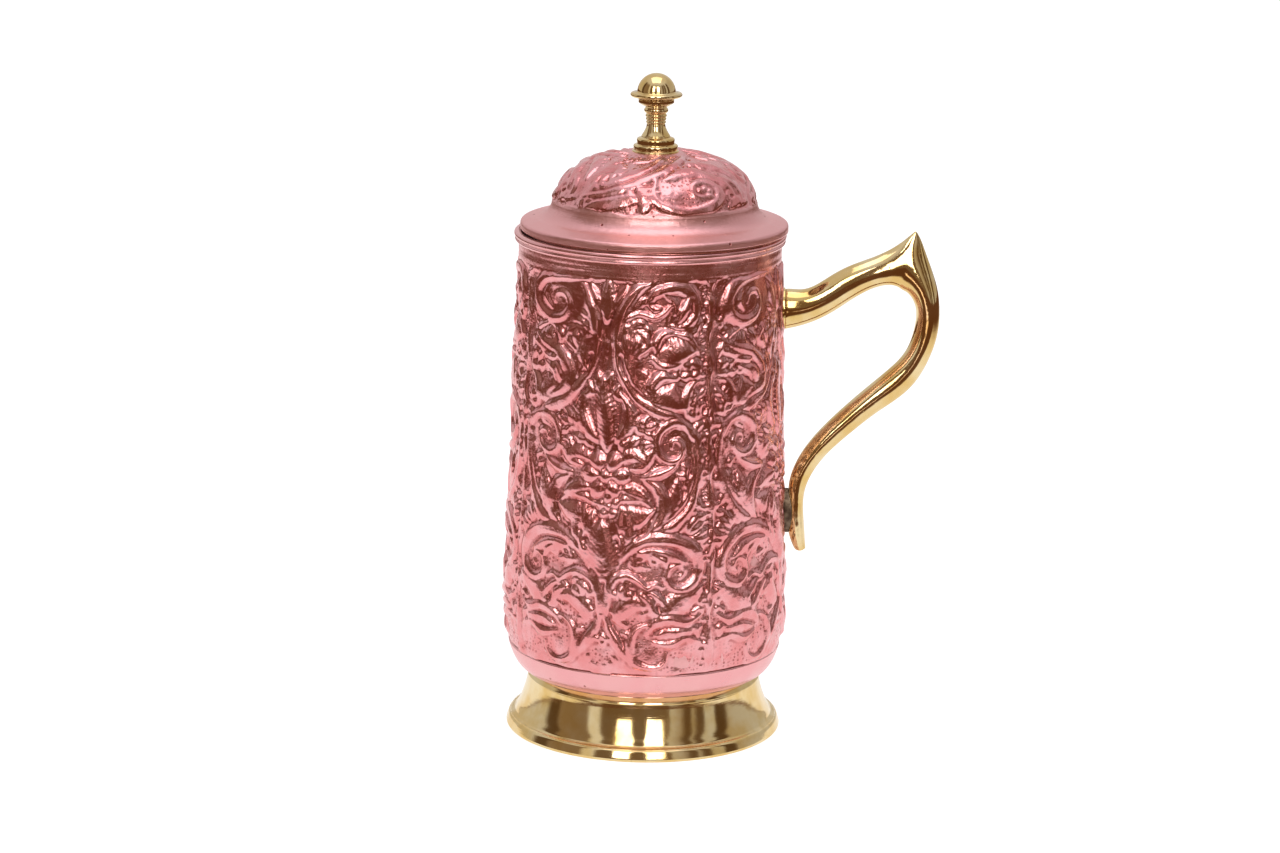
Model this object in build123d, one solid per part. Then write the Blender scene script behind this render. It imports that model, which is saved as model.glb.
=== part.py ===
from build123d import *
import math
import os

# Copper water jug: an embossed copper wall closed by a round-cornered copper bottom cup, a turned
# brass foot, a cast brass handle screwed to the wall, and a loose domed lid with a brass knob.
# Millimetres. +Z is up, the origin is the centre of the foot's resting plane, and the handle is on +X.

# ---- driving dimensions -------------------------------------------------------------------------
TOTAL_HEIGHT = 270.0

WALL_THICKNESS = 0.9          # rolled copper sheet of the wall and the bottom cup
SEAM_HEIGHT = 36.0            # brazed seam between the wall and the bottom cup
CORNER_CENTRE_RADIUS = 47.5   # the rounded bottom corner is a quarter ellipse about this radius
CORNER_TOP = 47.0             # height where the quarter ellipse ends and the wall goes on
CORNER_REACH = 9.7            # half axes of the quarter ellipse, across and down
CORNER_DEPTH = 22.5
SEAM_LAP = 5.0                # the cup's lip stands this far up inside the wall
LIP_OUTER = 0.5               # faces of the lip, in sheet thicknesses inside the wall's outer face
LIP_INNER = 2.0
LIP_ROOT = 1.0                # the lip's root reaches this far down along the cup
ROOT_SLANT = 0.2              # the root leans in with the corner, in sheet thicknesses
FLOOR_HEIGHT = CORNER_TOP - CORNER_DEPTH

RIM_HEIGHT = 206.4
RIM_BAND_HEIGHT = 4.3
RIM_BAND_PROUD = 1.8
RIM_TOP_FLAT = 0.6            # flat width on the band's top edge
RIM_RIDGE = (1.0, 0.72)       # points of the band, as shares of how proud and how high it is
RIM_GROOVE = (0.65, 0.42)
RIM_LOWER_RIDGE = (0.9, 0.22)
MOUTH_RADIUS = 53.0           # outside of the wall under the rim band
NECK_START = 192.0            # above this height the wall is straight

FOOT_RADIUS = 56.4
FOOT_FLANGE_HEIGHT = 4.6
FOOT_NECK_RADIUS = 47.4
FOOT_THICKNESS = 1.7
FOOT_WAIST = (50.0, 12.8)     # a point on the outside of the concave flare
FOOT_LIP_HEIGHT = 3.2         # bevelled lip round the top of the foot
FOOT_REST_WIDTH = 3.0         # ring that stands on the table
FOOT_SHELF_WIDTH = 6.5        # inner shelf that carries the bottom cup
FOOT_SHELF_THICKNESS = 1.8

LID_SHIFT = 1.5               # the lid lies this far towards the handle, within its collar's play
LID_THICKNESS = 0.8
LID_RADIUS = 53.9
LID_EDGE_BOTTOM = RIM_HEIGHT + 0.9
LID_EDGE_TOP = 210.2
LID_EDGE_ROUND = 1.0
COVE_OUTER = (47.0, 212.0)    # radius and height where the flat brim turns up into the cove
COVE_TOP = (41.3, 218.4)      # where the cove meets the dome
COVE_ROUND = 7.0
DOME_TOP = 238.5
COLLAR_RADIUS = 49.4
COLLAR_BOTTOM = 198.0
COLLAR_FLANGE_RADIUS = 52.9

KNOB_BASE_RADIUS = 8.9
KNOB_RING_RADIUS = 10.4
KNOB_RING_HEIGHT = 261.5
KNOB_BALL_RADIUS = 7.7
KNOB_RING_HALF = 0.9          # half the height of the thin ring under the ball
KNOB_BASE_STEP = [(KNOB_BASE_RADIUS, 239.9), (8.6, 240.8), (7.9, 241.4)]
KNOB_WAIST = [(7.9, 241.4), (6.7, 244.2), (4.6, 247.4), (3.9, 250.4), (4.15, 251.6)]
KNOB_BEAD = [(4.15, 251.6), (5.0, 252.9), (4.2, 254.2)]
KNOB_NECK = [(4.2, 254.2), (4.9, 256.4), (7.4, 259.2), (8.2, KNOB_RING_HEIGHT - KNOB_RING_HALF)]

UPPER_FIXING_HEIGHT = 175.0   # handle screws
LOWER_FIXING_HEIGHT = 91.0
HANDLE_ROOT_X = 54.8          # flat root of the upper arm
COLLAR_PLATE = (17.4, 14.6)   # height and width of the collar under the upper arm
PAD_PLATE = (18.6, 9.0)       # height and width of the spacer pad under the tail
PAD_OUTER_X = 60.0            # the pad's blank, before the tail is cut out of it

SCREW_RADIUS = 1.95
SCREW_HOLE_RADIUS = 2.0       # thread drawn as a plain bore with running clearance
CLEARANCE_HOLE_RADIUS = 2.15
FIXING_HOLE_X = (48.0, 62.0)  # the clearance holes are cut between these two planes
SCREW_HEAD_RADIUS = 3.6
SCREW_HEAD_HEIGHT = 2.4
SLOT_WIDTH = 0.9
SLOT_DEPTH = 1.1
HANDLE_SCREW_LENGTH = 8.0
KNOB_SCREW_LENGTH = 10.0
HOLE_END_CLEARANCE = 0.4
WASHER_RADIUS = 4.6
WASHER_THICKNESS = 0.8
SECTION_POINTS = 24           # points round one section of the handle

# Handle stations: the edge next to the hand, the outer edge, both as (x, z), the width across the
# hand, and how far the outer side narrows to a ridge (0 round, 1 sharp). The pointed thumb rest
# is where the upper arm and the limb meet.
THUMB_REST = ((100.8, 184.4), (106.6, 208.2), 12.0, 0.9)
UPPER_ARM = [
    ((HANDLE_ROOT_X, 166.7), (HANDLE_ROOT_X, 183.2), 13.5, 0.0),
    ((66.0, 169.9), (63.2, 183.4), 13.0, 0.0),
    ((78.3, 176.9), (72.5, 188.5), 12.5, 0.0),
    ((87.5, 182.8), (82.8, 194.0), 12.0, 0.05),
    ((94.0, 185.2), (92.5, 197.9), 12.0, 0.2),
    ((98.0, 185.4), (100.3, 202.5), 12.0, 0.5),
    THUMB_REST,
]
LIMB = [
    THUMB_REST,
    ((103.2, 183.0), (110.2, 201.2), 12.0, 0.6),
    ((105.7, 180.6), (113.9, 191.5), 12.0, 0.3),
    ((107.3, 177.4), (116.4, 183.3), 12.0, 0.1),
    ((107.9, 173.5), (117.4, 174.7), 12.0, 0.0),
    ((107.3, 167.5), (116.9, 166.0), 12.0, 0.0),
    ((104.7, 159.4), (114.3, 156.7), 11.8, 0.0),
    ((98.3, 151.4), (107.6, 144.5), 11.5, 0.0),
    ((87.5, 141.8), (94.4, 133.5), 11.2, 0.0),
    ((76.0, 131.0), (82.6, 123.8), 10.8, 0.0),
    ((66.5, 120.4), (73.0, 114.5), 10.5, 0.0),
    ((61.0, 111.5), (68.0, 107.5), 10.2, 0.0),
    ((58.3, 103.0), (65.2, 101.0), 10.0, 0.0),
    ((58.0, 95.0), (64.3, 94.6), 10.0, 0.0),
    ((58.1, 87.0), (64.7, 87.2), 9.8, 0.0),
    ((58.8, 80.6), (65.2, 81.4), 9.2, 0.0),
    ((61.4, 74.4), (65.8, 75.0), 7.6, 0.0),
]


# ---- shared helpers -----------------------------------------------------------------------------
def joined(*curves):
    """One wire from curves that meet end to end."""
    return Wire([edge for curve in curves for edge in curve.edges()])


def turned(outline, axis_x=0.0):
    """The solid turned from a closed (radius, height) outline, about a vertical axis at axis_x."""
    face = make_face(Plane.XZ * outline)
    return Pos(axis_x, 0, 0) * revolve(face, Axis.Z)


def as_spline(edge):
    """An offset edge redrawn as a spline through nine of its points; any other edge as it is."""
    if edge.geom_type != GeomType.OFFSET:
        return edge
    return Spline([edge @ (step / 8) for step in range(9)], tangents=(edge % 0, edge % 1))


def sheet(path, thickness):
    """The closed outline of sheet metal whose outer face is the open path."""
    outline = offset(path, amount=thickness, side=Side.LEFT)
    return joined(*[as_spline(edge) for edge in outline.edges()])


def horizontal_rod(radius, x_start, x_end, z):
    """A cylinder along X at height z."""
    length = x_end - x_start
    return Pos(x_start + length / 2, 0, z) * Rot(0, 90, 0) * Cylinder(radius, length)


def slotted_screw(length):
    """A slotted pan-head screw, head below the origin and shank along +Z."""
    head = Pos(0, 0, -SCREW_HEAD_HEIGHT / 2) * Cylinder(SCREW_HEAD_RADIUS, SCREW_HEAD_HEIGHT)
    head = fillet(head.edges().sort_by(Axis.Z)[0], 1.0)
    shank = Pos(0, 0, length / 2) * Cylinder(SCREW_RADIUS, length)
    slot = Pos(0, 0, -SCREW_HEAD_HEIGHT) * Box(3 * SCREW_HEAD_RADIUS, SLOT_WIDTH, 2 * SLOT_DEPTH)
    return head + shank - slot


# ---- copper vessel ------------------------------------------------------------------------------
def corner_arc(low, high):
    """Outside of the rounded bottom corner between two heights."""
    start, end = (math.degrees(math.asin((z - CORNER_TOP) / CORNER_DEPTH)) for z in (low, high))
    return EllipticalCenterArc((CORNER_CENTRE_RADIUS, CORNER_TOP), CORNER_REACH, CORNER_DEPTH,
                               start_angle=start, arc_size=end - start)


def wall_path():
    """Outside of the wall from the seam to the mouth: the corner, a slow taper, a straight neck."""
    corner = corner_arc(SEAM_HEIGHT, CORNER_TOP)
    taper = Spline((CORNER_CENTRE_RADIUS + CORNER_REACH, CORNER_TOP), (57.0, 75), (55.4, 108),
                   (54.1, 152), (MOUTH_RADIUS, NECK_START), tangents=((0, 1), (0, 1)))
    neck = Line((MOUTH_RADIUS, NECK_START), (MOUTH_RADIUS, RIM_HEIGHT))
    return joined(corner, taper, neck)


def fixing_hole(z):
    """The clearance hole of a handle screw through the wall."""
    return horizontal_rod(CLEARANCE_HOLE_RADIUS, *FIXING_HOLE_X, z)


def make_body_wall():
    wall = turned(sheet(wall_path(), WALL_THICKNESS))
    return wall - fixing_hole(UPPER_FIXING_HEIGHT) - fixing_hole(LOWER_FIXING_HEIGHT)


def make_rim_band():
    """Two-ridged copper band brazed round the mouth: a large upper ridge, a groove, a small one."""
    low = RIM_HEIGHT - RIM_BAND_HEIGHT
    foot = (MOUTH_RADIUS, low)
    top_inner = (MOUTH_RADIUS, RIM_HEIGHT)
    top_outer = (MOUTH_RADIUS + RIM_TOP_FLAT, RIM_HEIGHT)
    ridge, groove, lower_ridge = (
        (MOUTH_RADIUS + out * RIM_BAND_PROUD, low + up * RIM_BAND_HEIGHT)
        for out, up in (RIM_RIDGE, RIM_GROOVE, RIM_LOWER_RIDGE)
    )
    return turned(joined(
        Line(foot, top_inner),
        Line(top_inner, top_outer),
        ThreePointArc(top_outer, ridge, groove),
        ThreePointArc(groove, lower_ridge, foot),
    ))


def make_bottom_cup():
    """The round-cornered bottom, with a lip that stands up inside the wall at the brazed seam."""
    corner = corner_arc(FLOOR_HEIGHT, SEAM_HEIGHT)
    outside = joined(Line((0, FLOOR_HEIGHT), corner @ 0), corner)
    seam = corner @ 1
    lap_end = corner_arc(SEAM_HEIGHT, SEAM_HEIGHT + SEAM_LAP) @ 1
    inwards = Vector(WALL_THICKNESS, 0)
    down = Vector(0, LIP_ROOT)
    lip = Polyline(
        seam - down - LIP_OUTER * inwards,
        lap_end - LIP_OUTER * inwards,
        lap_end - LIP_INNER * inwards,
        seam - (LIP_INNER + ROOT_SLANT) * inwards,
        seam - 2 * down - (LIP_INNER - ROOT_SLANT) * inwards,
        close=True,
    )
    return turned(sheet(outside, WALL_THICKNESS)) + turned(lip) - make_body_wall()


# ---- brass foot ---------------------------------------------------------------------------------
def make_brass_foot():
    """A turned ring: resting flange, concave flare, bevelled lip and a shelf under the cup."""
    rest_inner = (FOOT_RADIUS - FOOT_REST_WIDTH, 0)
    flange_side = (FOOT_RADIUS, FOOT_FLANGE_HEIGHT - 1.0)
    flange_top = (FOOT_RADIUS - 1.0, FOOT_FLANGE_HEIGHT)
    ledge = (FOOT_RADIUS - 2.2, FOOT_FLANGE_HEIGHT + 0.2)
    flare_start = (FOOT_RADIUS - 4.1, FOOT_FLANGE_HEIGHT + 2.2)
    flare_end = (FOOT_NECK_RADIUS, FLOOR_HEIGHT - FOOT_LIP_HEIGHT)
    shelf_bottom = FLOOR_HEIGHT - FOOT_SHELF_THICKNESS
    shelf_radius = FOOT_NECK_RADIUS - FOOT_SHELF_WIDTH
    inner_top = (FOOT_NECK_RADIUS - FOOT_THICKNESS, shelf_bottom)
    inner_waist = (FOOT_WAIST[0] - FOOT_THICKNESS, FOOT_WAIST[1])
    inner_low = (rest_inner[0] - FOOT_THICKNESS, FOOT_FLANGE_HEIGHT)
    return turned(joined(
        Polyline(rest_inner, (FOOT_RADIUS - 0.5, 0), (FOOT_RADIUS, 0.6), flange_side),
        ThreePointArc(flange_side, (FOOT_RADIUS - 0.3, FOOT_FLANGE_HEIGHT - 0.3), flange_top),
        Line(flange_top, ledge),
        ThreePointArc(ledge, (FOOT_RADIUS - 3.5, FOOT_FLANGE_HEIGHT + 0.9), flare_start),
        Spline(flare_start, FOOT_WAIST, flare_end),
        Polyline(flare_end, (FOOT_NECK_RADIUS + 0.5, flare_end[1] + 0.3),
                 (FOOT_NECK_RADIUS, FLOOR_HEIGHT), (shelf_radius, FLOOR_HEIGHT),
                 (shelf_radius, shelf_bottom), inner_top),
        Spline(inner_top, inner_waist, inner_low),
        Line(inner_low, rest_inner),
    ))


# ---- brass handle -------------------------------------------------------------------------------
def handle_section(inner, outer, width, ridge):
    """A closed section between the inner and outer edge points, narrowed to a ridge outside."""
    low = Vector(inner[0], 0, inner[1])
    high = Vector(outer[0], 0, outer[1])
    across = high - low
    plane = Plane((low + high) * 0.5, x_dir=across, z_dir=across.cross(Vector(0, 1, 0)))
    points = []
    for step in range(SECTION_POINTS):
        angle = 2 * math.pi * step / SECTION_POINTS
        narrowing = 1 - ridge * ((1 + math.cos(angle)) / 2) ** 1.5
        points.append((across.length / 2 * math.cos(angle), width / 2 * math.sin(angle) * narrowing))
    return make_face(plane * Spline(points, periodic=True))


def make_handle():
    """The arm from the wall to the thumb rest, and the limb from the tail up to it, as one casting."""
    arm = loft([handle_section(*station) for station in UPPER_ARM])
    limb = loft([handle_section(*station) for station in reversed(LIMB)])
    handle = arm + limb
    for z in (UPPER_FIXING_HEIGHT, LOWER_FIXING_HEIGHT):
        handle -= horizontal_rod(SCREW_HOLE_RADIUS, HANDLE_ROOT_X - 1, handle_bore_end(z), z)
    return handle


def make_handle_upper_collar():
    """A thin oval plate between the wall and the root of the upper arm."""
    blank = plate_blank(COLLAR_PLATE, HANDLE_ROOT_X, UPPER_FIXING_HEIGHT)
    return blank - inside_of_wall() - fixing_hole(UPPER_FIXING_HEIGHT)


def make_handle_lower_pad():
    """A solder-grey pad that fills the gap between the wall and the handle's tail."""
    blank = plate_blank(PAD_PLATE, PAD_OUTER_X, LOWER_FIXING_HEIGHT)
    pad = blank - inside_of_wall() - make_handle() - fixing_hole(LOWER_FIXING_HEIGHT)
    return pad.solids().sort_by(Axis.X)[0]


def plate_blank(plate, outer_x, z):
    """An oval block along X that reaches from inside the wall to outer_x."""
    height, width = plate
    inner_x = MOUTH_RADIUS - 6
    plane = Plane((inner_x, 0, z), x_dir=(0, 0, 1), z_dir=(1, 0, 0))
    return extrude(plane * Ellipse(height / 2, width / 2), amount=outer_x - inner_x)


def inside_of_wall():
    """Everything inside the wall's outer surface, as a solid to cut the fittings to the wall."""
    top = (0, RIM_HEIGHT)
    bottom = (0, SEAM_HEIGHT)
    path = wall_path()
    return turned(joined(path, Polyline(path @ 1, top, bottom, path @ 0)))


# ---- handle fixings, inside the vessel ----------------------------------------------------------
def wall_radius(z):
    """Outside radius of the wall at height z, found by halving."""
    path = wall_path()
    low, high = 0.0, 1.0
    for _ in range(40):
        middle = (low + high) / 2
        if (path @ middle).Y < z:
            low = middle
        else:
            high = middle
    return (path @ low).X


def washer_face_x(z):
    """The flat face of a handle washer, where the screw head bears."""
    return wall_radius(z) - WALL_THICKNESS - WASHER_THICKNESS


def handle_bore_end(z):
    return washer_face_x(z) + HANDLE_SCREW_LENGTH + HOLE_END_CLEARANCE


def make_handle_screws():
    """Two equal screws that go out through the wall into the handle."""
    return [Pos(washer_face_x(z), 0, z) * Rot(0, 90, 0) * slotted_screw(HANDLE_SCREW_LENGTH)
            for z in (UPPER_FIXING_HEIGHT, LOWER_FIXING_HEIGHT)]


def make_handle_washers():
    """Two washers, flat under the screw head and curved to the wall on the other side."""
    washers = []
    for z in (UPPER_FIXING_HEIGHT, LOWER_FIXING_HEIGHT):
        face_x = washer_face_x(z)
        blank = horizontal_rod(WASHER_RADIUS, face_x, face_x + WALL_THICKNESS + WASHER_THICKNESS / 2, z)
        blank -= horizontal_rod(CLEARANCE_HOLE_RADIUS, face_x - 1, face_x + 3, z)
        washers.append((blank - make_body_wall()).solids().sort_by(Axis.X)[0])
    return washers


# ---- lid ----------------------------------------------------------------------------------------
def lid_path():
    """Outside of the lid, from its turned-down edge over the brim, cove and dome to the centre."""
    edge_low = (LID_RADIUS, LID_EDGE_BOTTOM)
    edge_high = (LID_RADIUS, LID_EDGE_TOP - LID_EDGE_ROUND)
    brim_start = (LID_RADIUS - LID_EDGE_ROUND, LID_EDGE_TOP)
    seat = (KNOB_BASE_RADIUS + 0.6, DOME_TOP)
    cove = RadiusArc(COVE_OUTER, COVE_TOP, COVE_ROUND)
    return joined(
        Line(edge_low, edge_high),
        RadiusArc(edge_high, brim_start, -LID_EDGE_ROUND),
        Line(brim_start, COVE_OUTER),
        cove,
        Spline(COVE_TOP, (39.6, 223.2), (35.9, 228.9), (29.4, 233.5), (20.9, 236.6), seat,
               tangents=((-0.15, 1), (-1, 0))),
        Line(seat, (CLEARANCE_HOLE_RADIUS, DOME_TOP)),
    )


def make_lid_shell():
    return turned(sheet(lid_path(), LID_THICKNESS), LID_SHIFT)


def make_lid_collar():
    """The ring inside the mouth that locates the lid; its flange carries the lid on the rim."""
    inner = COLLAR_RADIUS - LID_THICKNESS
    flange_top = LID_EDGE_BOTTOM
    blank = turned(Polyline(
        (inner, COLLAR_BOTTOM), (COLLAR_RADIUS, COLLAR_BOTTOM), (COLLAR_RADIUS, RIM_HEIGHT),
        (COLLAR_FLANGE_RADIUS, RIM_HEIGHT), (COLLAR_FLANGE_RADIUS, flange_top),
        (COLLAR_RADIUS, flange_top), (COLLAR_RADIUS, COVE_OUTER[1] - LID_THICKNESS),
        (inner, COVE_OUTER[1] - LID_THICKNESS), close=True), LID_SHIFT)
    return (blank - make_lid_shell()).solids().sort_by(Axis.Z)[0]


def make_knob():
    """Turned brass knob: stepped base, waist, bead, flared neck, thin ring and a ball on top."""
    ball_centre = TOTAL_HEIGHT - KNOB_BALL_RADIUS
    ring_low = KNOB_RING_HEIGHT - KNOB_RING_HALF
    ring_high = KNOB_RING_HEIGHT + KNOB_RING_HALF
    ring_side = KNOB_RING_RADIUS - KNOB_RING_HALF
    ball_start = math.sqrt(KNOB_BALL_RADIUS ** 2 - (ring_high - ball_centre) ** 2)
    bore_end = DOME_TOP - LID_THICKNESS - WASHER_THICKNESS + KNOB_SCREW_LENGTH + HOLE_END_CLEARANCE
    outline = joined(
        Polyline((0, TOTAL_HEIGHT), (0, bore_end), (SCREW_HOLE_RADIUS, bore_end),
                 (SCREW_HOLE_RADIUS, DOME_TOP), (KNOB_BASE_RADIUS, DOME_TOP), KNOB_BASE_STEP[0]),
        ThreePointArc(*KNOB_BASE_STEP),
        Spline(*KNOB_WAIST),
        ThreePointArc(*KNOB_BEAD),
        Spline(*KNOB_NECK),
        Line(KNOB_NECK[-1], (ring_side, ring_low)),
        ThreePointArc((ring_side, ring_low), (KNOB_RING_RADIUS, KNOB_RING_HEIGHT),
                      (ring_side, ring_high)),
        Line((ring_side, ring_high), (ball_start, ring_high)),
        ThreePointArc((ball_start, ring_high),
                      (KNOB_BALL_RADIUS * math.sin(0.8), ball_centre + KNOB_BALL_RADIUS * math.cos(0.8)),
                      (0, TOTAL_HEIGHT)),
    )
    return turned(outline, LID_SHIFT)


def make_knob_screw():
    """The screw that holds the knob, with its head under the dome."""
    face_z = DOME_TOP - LID_THICKNESS - WASHER_THICKNESS
    return Pos(LID_SHIFT, 0, face_z) * slotted_screw(KNOB_SCREW_LENGTH)


def make_knob_washer():
    washer = Cylinder(WASHER_RADIUS, WASHER_THICKNESS) - Cylinder(CLEARANCE_HOLE_RADIUS, 3)
    return Pos(LID_SHIFT, 0, DOME_TOP - LID_THICKNESS - WASHER_THICKNESS / 2) * washer


# ---- all nodes ----------------------------------------------------------------------------------
NODES = {
    "body_wall": make_body_wall,
    "rim_band": make_rim_band,
    "bottom_cup": make_bottom_cup,
    "brass_foot": make_brass_foot,
    "handle": make_handle,
    "handle_upper_collar": make_handle_upper_collar,
    "handle_lower_pad": make_handle_lower_pad,
    "handle_screws": make_handle_screws,
    "handle_washers": make_handle_washers,
    "lid_shell": make_lid_shell,
    "lid_collar": make_lid_collar,
    "knob": make_knob,
    "knob_screw": make_knob_screw,
    "knob_washer": make_knob_washer,
}


def main():
    os.makedirs("parts", exist_ok=True)
    for name, make in NODES.items():
        shape = make()
        if isinstance(shape, list):
            shape = Compound(children=shape)
        export_step(shape, f"parts/{name}.step")


main()
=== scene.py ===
import math

import bmesh
import bpy
import numpy as np
from mathutils import Matrix


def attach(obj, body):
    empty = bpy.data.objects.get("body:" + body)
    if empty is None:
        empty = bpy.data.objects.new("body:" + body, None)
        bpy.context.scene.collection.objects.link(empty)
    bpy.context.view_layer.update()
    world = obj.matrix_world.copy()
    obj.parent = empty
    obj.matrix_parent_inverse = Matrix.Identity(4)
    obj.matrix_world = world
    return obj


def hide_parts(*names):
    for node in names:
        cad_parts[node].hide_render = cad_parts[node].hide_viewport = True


# The looks of the copper water jug: an embossed copper wall and lid, a turned brass foot and knob,
# and a polished cast brass handle. Lengths are in millimetres until a mesh is made, in metres.

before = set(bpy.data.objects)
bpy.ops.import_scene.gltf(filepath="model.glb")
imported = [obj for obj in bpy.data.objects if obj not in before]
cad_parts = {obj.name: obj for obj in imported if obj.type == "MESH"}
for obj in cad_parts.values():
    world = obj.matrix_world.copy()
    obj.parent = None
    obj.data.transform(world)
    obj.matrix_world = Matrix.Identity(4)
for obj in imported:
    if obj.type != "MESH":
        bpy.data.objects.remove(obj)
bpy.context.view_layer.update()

MM = 0.001

# ---- driving values ----
GRID = 0.25                 # spacing of the flat grid that the embossing is drawn on
GROUND_LEVEL = -0.55        # the punched ground lies this far below the sheet's own surface
CHASED_LINE = 0.3           # depth of the tooled line round every motif
STEM_FULLNESS = 1.3         # every stem is this much wider than the half widths it is given
TOOL_ROUNDING = 0.5         # the drawn forms are blurred over this distance, as soft copper would be
SWELLING = 2.6              # distance over which whole motifs swell out of the sheet
FINE_SHARE = 0.75           # share of the drawn height, and below it of the swelling, that is kept
SWELLING_SHARE = 0.8

WALL_SPACING = 0.4          # distance between vertices on the embossed wall and lid
SHEET = 0.9                 # thickness of the wall and the bottom cup
SEAM_HEIGHT = 36.0          # brazed seam between the wall and the bottom cup
CORNER_CENTRE = (47.5, 47.0)
CORNER_HALF_AXES = (9.7, 22.5)
MOUTH_RADIUS = 53.0
RIM_HEIGHT = 206.4
EMBOSSED_TOP = 195.0        # the embossing ends here and the turned lines begin
TURNED_LINES_LOW = 196.0
SHEET_LIFT = 0.25           # the embossed sheet as a whole stands out this far
SEAM_SINK = (0.06, 0.34)    # how far it is hammered in at the seam: everywhere, and where that is open
EDGE_DRAW = 0.25            # the cup's top edge is drawn in this far, to lie flush at the seam
SEAM_GAP = 0.4              # depth of the dark line along the open parts of the seam
TURNED_LINES = 0.10         # depth of the turned lines under the rim
JOINT_HEIGHT = 0.22         # the upright joint stands out this far
JOINT_WIDTH = 0.55

PANELS = 4                  # repeats of the wall's design round the jug
PANEL_RADIUS = 54.5         # radius at which s is measured round the wall
PANEL_HALF = PANEL_RADIUS * math.pi / PANELS
WALL_DESIGN = (42.8, 36, 199)   # half width, lowest and highest of the drawn panel
FRONT_PANEL = -17.8         # degrees from the front (-Y) towards the handle (+X)
WALL_JOINT = 64.0           # the wall's upright brazed joint, in the same degrees
FITTINGS = [(175.0, 8.5), (91.0, 9.0)]   # heights and radii of the plates under the handle

LID_CENTRE = 1.5            # the lid lies this far towards the handle
LID_SHEET = 0.8
DOME_PANELS = 3
DOME_RADIUS = 36.0          # radius at which s is measured round the dome
DOME_PANEL_HALF = DOME_RADIUS * math.pi / DOME_PANELS
DOME_ARC_HEIGHT = 40.0      # length of the embossed part, measured up the dome
DOME_START = (41.3, 218.4)  # where the dome rises from the cove
DOME_RELIEF = 0.7           # the dome's relief as a share of the wall's


# ---- curves and noise ----
def smooth_step(low, high, value):
    share = np.clip((value - low) / (high - low), 0, 1)
    return share * share * (3 - 2 * share)


def curve(knots, per_span=6):
    """Points along a smooth curve through the knots."""
    knots = np.array(knots, float)
    knots = np.vstack([2 * knots[0] - knots[1], knots, 2 * knots[-1] - knots[-2]])
    share = np.linspace(0, 1, per_span, endpoint=False)[:, None]
    spans = []
    for a, b, c, d in zip(knots, knots[1:], knots[2:], knots[3:]):
        linear = (c - a) * share
        square = (2 * a - 5 * b + 4 * c - d) * share**2
        cubic = (3 * b - a - 3 * c + d) * share**3
        spans.append(0.5 * (2 * b + linear + square + cubic))
    return np.vstack(spans + [knots[-2:-1]])


def cloud(x, y, cell, seed, period=None):
    """Smooth seeded noise from -1 to 1 at the points x, y, with features about a cell wide."""
    table = np.random.default_rng(seed).uniform(-1, 1, (256, 256))
    u, v = x / cell, y / cell
    columns = 256
    if period is not None:
        columns = max(1, round(period / cell))
        u = x / period * columns
    i, k = np.floor(u).astype(int), np.floor(v).astype(int)
    fu, fv = smooth_step(0, 1, u - i), smooth_step(0, 1, v - k)
    left, right = i % columns % 256, (i + 1) % columns % 256
    low, high = k % 256, (k + 1) % 256
    lower = table[left, low] * (1 - fu) + table[right, low] * fu
    upper = table[left, high] * (1 - fu) + table[right, high] * fu
    return lower * (1 - fv) + upper * fv


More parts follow.
